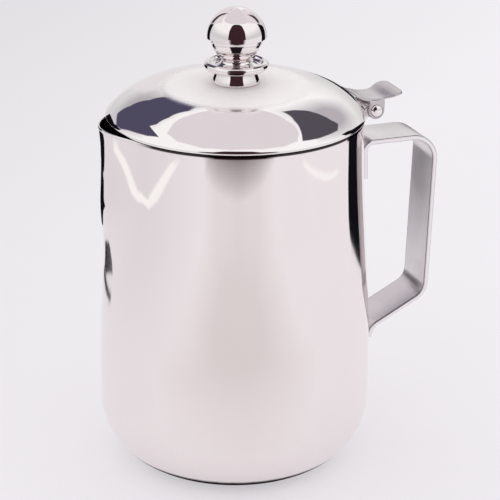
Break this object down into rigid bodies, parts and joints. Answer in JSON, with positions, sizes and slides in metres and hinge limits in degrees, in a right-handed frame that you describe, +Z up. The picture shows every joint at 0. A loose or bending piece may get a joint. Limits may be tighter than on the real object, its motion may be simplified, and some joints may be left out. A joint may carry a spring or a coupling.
{
  "type": "hot milk jug with lid",
  "caption": "Steel jug with a pressed pouring lip, bent strip handle and domed lid with a ball knob, hinged at the handle and lifted by a thumb lever.",
  "frame": {"origin": "centre of the flat base of the jug", "axes": "+Z up the jug, +X to the handle, -X to the pouring lip"},
  "size_m": [0.1393, 0.1096, 0.1876],
  "materials": {
    "polished_steel": "bright polish with faint drawing marks",
    "satin_steel": "satin",
    "mirror_steel": "mirror polish",
    "zinc_steel": "bright zinc plate"
  },
  "bodies": {
    "jug": {"jug_body": "polished_steel", "handle": "satin_steel", "hinge_bracket": "satin_steel", "hinge_rivet": "polished_steel"},
    "lid": {"thumb_lever": "satin_steel", "lid_shell": "mirror_steel", "knob_foot": "mirror_steel", "knob_collar": "mirror_steel", "knob_neck": "mirror_steel", "knob_cup": "mirror_steel", "knob_cap": "mirror_steel", "knob_insert": "zinc_steel", "lid_washer": "zinc_steel", "knob_screw": "zinc_steel"}
  },
  "joints": [
    {"name": "lid_hinge", "type": "hinge", "parent": "jug", "child": "lid", "pos_m": [0.0572, 0, 0.142], "axis": [0, 1, 0], "range_deg": [0, 85]}
  ]
}
